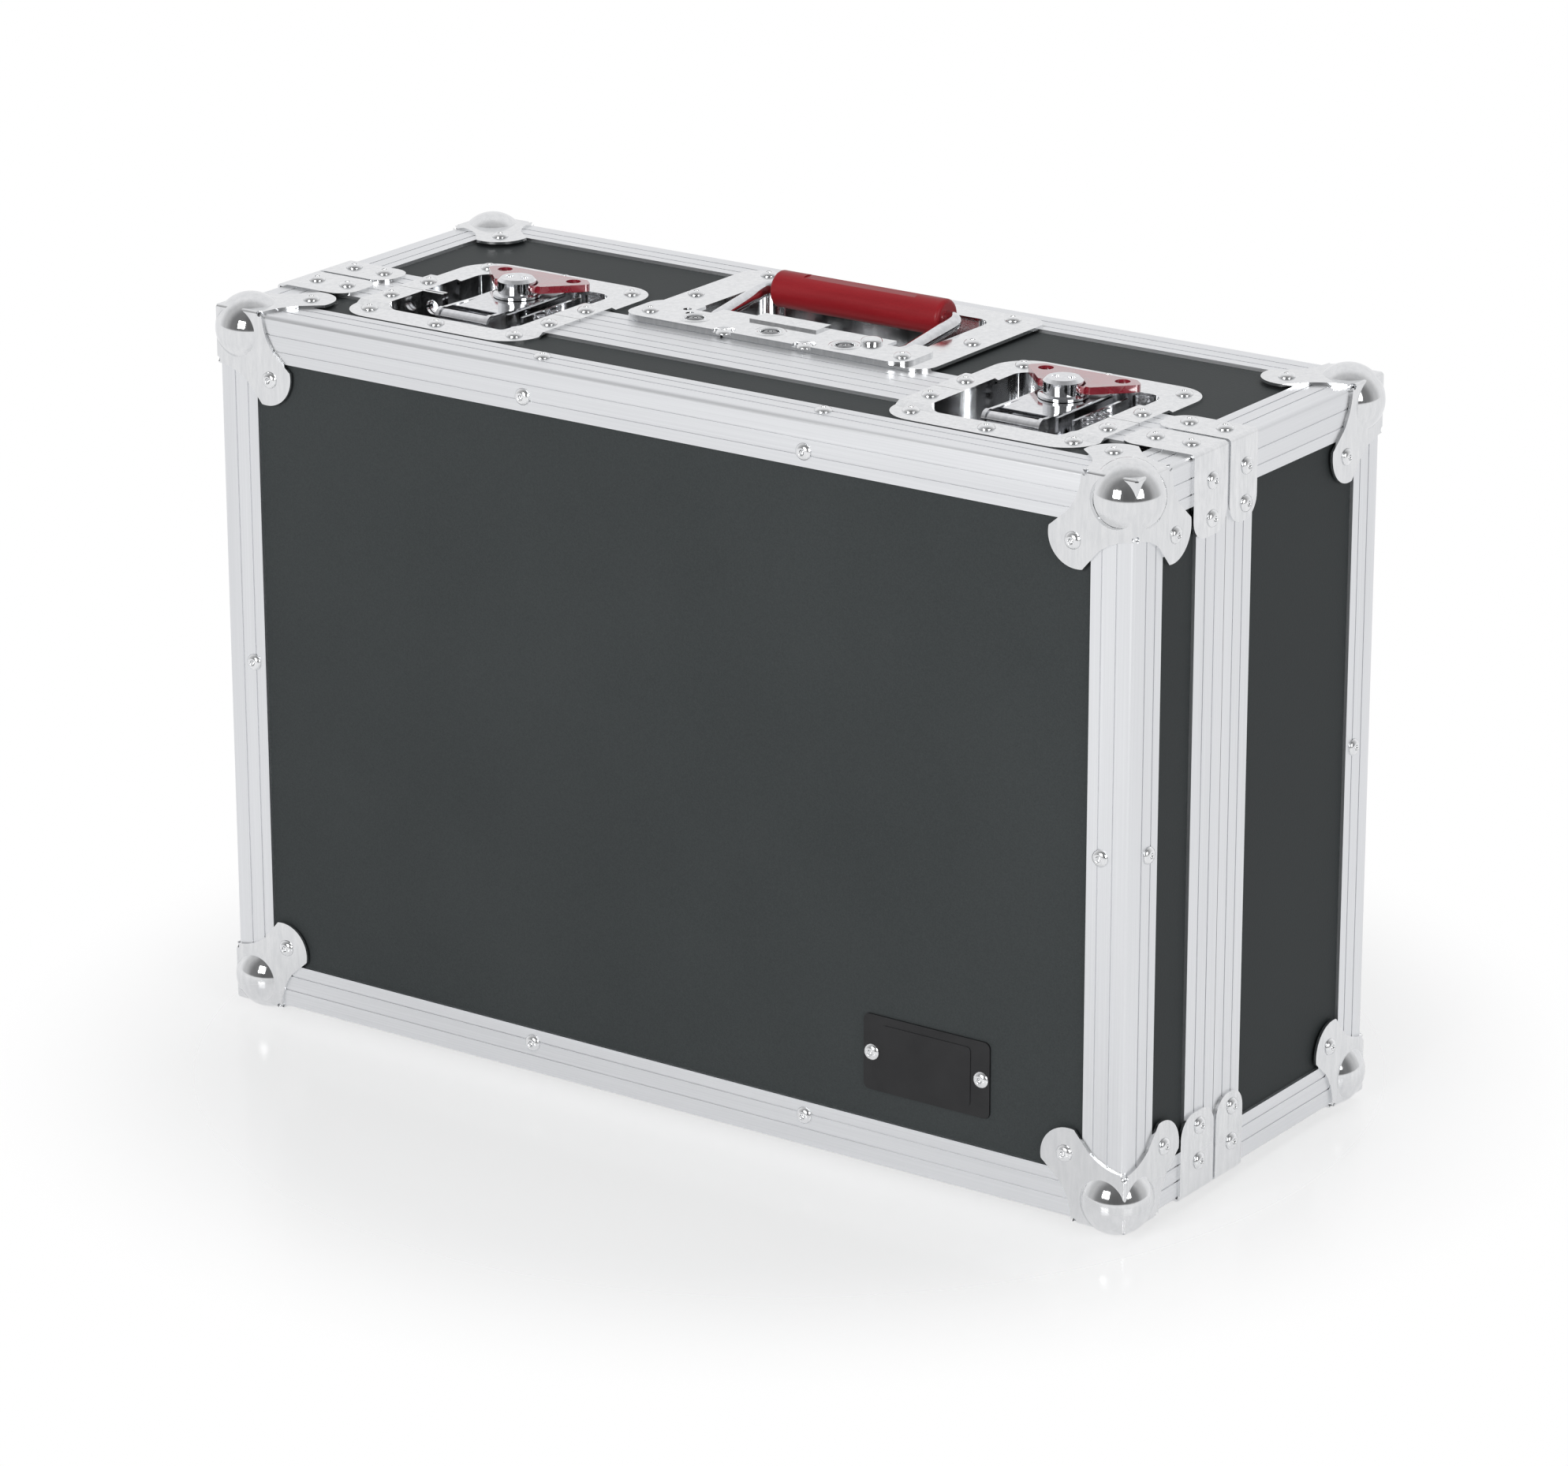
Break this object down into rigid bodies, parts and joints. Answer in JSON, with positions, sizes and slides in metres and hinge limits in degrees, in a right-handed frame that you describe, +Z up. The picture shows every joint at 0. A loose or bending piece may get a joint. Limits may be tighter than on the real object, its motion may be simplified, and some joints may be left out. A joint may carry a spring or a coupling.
{
  "type": "microphone flight case",
  "caption": "Flight case for microphones: dark laminated panels in aluminium edges with ball corners, recessed butterfly latches on top, a folding red grip and a hinged lid.",
  "frame": {"origin": "middle of the bounding box in plan, on the surface the ball corners stand on", "axes": "+X along the length, to the right seen from the lid's face; +Y from the lid's face to the back; +Z up, towards the handle and latches"},
  "size_m": [0.5122, 0.2162, 0.3598],
  "materials": {
    "panel_laminate": "dark slate grey laminate with a fine grain",
    "edge_aluminium": "satin anodised",
    "plated_steel": "bright zinc plate",
    "latch_steel": "bright plate",
    "spring_steel": "bright wire",
    "rivet_steel": "bright pressed heads",
    "lever_red": "glossy red powder coat",
    "grip_red": "satin red vinyl",
    "name_plate": "black, bare",
    "foam": "charcoal open-cell foam"
  },
  "bodies": {
    "base": {"base_back_panel": "panel_laminate", "base_left_panel": "panel_laminate", "base_right_panel": "panel_laminate", "base_bottom_panel": "panel_laminate", "base_top_panel": "panel_laminate", "base_face_edges_long": "edge_aluminium", "base_face_edges_short": "edge_aluminium", "base_corner_edges": "edge_aluminium", "base_tongue_top": "edge_aluminium", "base_tongue_bottom": "edge_aluminium", "base_tongue_sides": "edge_aluminium", "base_clamps": "plated_steel", "left_latch_dish_base": "plated_steel", "right_latch_dish_base": "plated_steel", "latch_base_plates": "plated_steel", "latch_springs": "spring_steel", "handle_tray": "plated_steel", "handle_bracket": "plated_steel", "handle_springs": "spring_steel", "hinge_base_leaves": "plated_steel", "hinge_pins": "plated_steel", "base_foam_floor": "foam", "base_foam_insert": "foam", "base_rivets": "rivet_steel", "base_ball_corner_top_left": "plated_steel", "base_ball_corner_top_right": "plated_steel", "base_ball_corner_bottom_left": "plated_steel", "base_ball_corner_bottom_right": "plated_steel"},
    "lid": {"lid_front_panel": "panel_laminate", "lid_left_panel": "panel_laminate", "lid_right_panel": "panel_laminate", "lid_bottom_panel": "panel_laminate", "lid_top_panel": "panel_laminate", "lid_face_edges_long": "edge_aluminium", "lid_face_edges_short": "edge_aluminium", "lid_corner_edges": "edge_aluminium", "lid_groove_top": "edge_aluminium", "lid_groove_bottom": "edge_aluminium", "lid_groove_sides": "edge_aluminium", "lid_clamps": "plated_steel", "left_latch_dish_lid": "plated_steel", "right_latch_dish_lid": "plated_steel", "latch_keepers": "plated_steel", "hinge_lid_leaves": "plated_steel", "name_plate": "name_plate", "lid_foam": "foam", "lid_rivets": "rivet_steel", "lid_ball_corner_top_left": "plated_steel", "lid_ball_corner_top_right": "plated_steel", "lid_ball_corner_bottom_left": "plated_steel", "lid_ball_corner_bottom_right": "plated_steel"},
    "left_latch_post": {"left_latch_spindle": "latch_steel"},
    "left_latch_butterfly": {"left_latch_lever": "lever_red"},
    "left_latch_draw": {"left_latch_draw_plate": "latch_steel"},
    "right_latch_post": {"right_latch_spindle": "latch_steel"},
    "right_latch_butterfly": {"right_latch_lever": "lever_red"},
    "right_latch_draw": {"right_latch_draw_plate": "latch_steel"},
    "handle": {"handle_bail": "plated_steel", "handle_grip": "grip_red"}
  },
  "joints": [
    {"name": "lid_hinge", "type": "hinge", "parent": "base", "child": "lid", "pos_m": [0, -0.029, 0.0035], "axis": [1, 0, 0], "range_deg": [0, 100]},
    {"name": "left_latch_turn", "type": "hinge", "parent": "base", "child": "left_latch_post", "pos_m": [-0.149, -0.007, 0.3471], "axis": [0, 0, 1], "range_deg": [0, 180]},
    {"name": "left_lever_fold", "type": "hinge", "parent": "left_latch_post", "child": "left_latch_butterfly", "pos_m": [-0.149, -0.007, 0.351], "axis": [1, 0, 0], "range_deg": [0, 90]},
    {"name": "left_latch_pull", "type": "slide", "parent": "base", "child": "left_latch_draw", "axis": [0, -1, 0], "range_m": [0, 0.0065]},
    {"name": "right_latch_turn", "type": "hinge", "parent": "base", "child": "right_latch_post", "pos_m": [0.1525, -0.007, 0.3471], "axis": [0, 0, 1], "range_deg": [0, 180]},
    {"name": "right_lever_fold", "type": "hinge", "parent": "right_latch_post", "child": "right_latch_butterfly", "pos_m": [0.1525, -0.007, 0.351], "axis": [1, 0, 0], "range_deg": [0, 90]},
    {"name": "right_latch_pull", "type": "slide", "parent": "base", "child": "right_latch_draw", "axis": [0, -1, 0], "range_m": [0, 0.0065]},
    {"name": "handle_fold", "type": "hinge", "parent": "base", "child": "handle", "pos_m": [0, 0.014, 0.3446], "axis": [1, 0, 0], "range_deg": [0, 90], "stiffness_Nm_per_rad": 0.06, "springref_deg": -17.19}
  ],
  "couplings": [
    {"joint": "left_latch_pull", "follows": "left_latch_turn", "m_per_rad": 0.002069},
    {"joint": "right_latch_pull", "follows": "right_latch_turn", "m_per_rad": 0.002069}
  ]
}
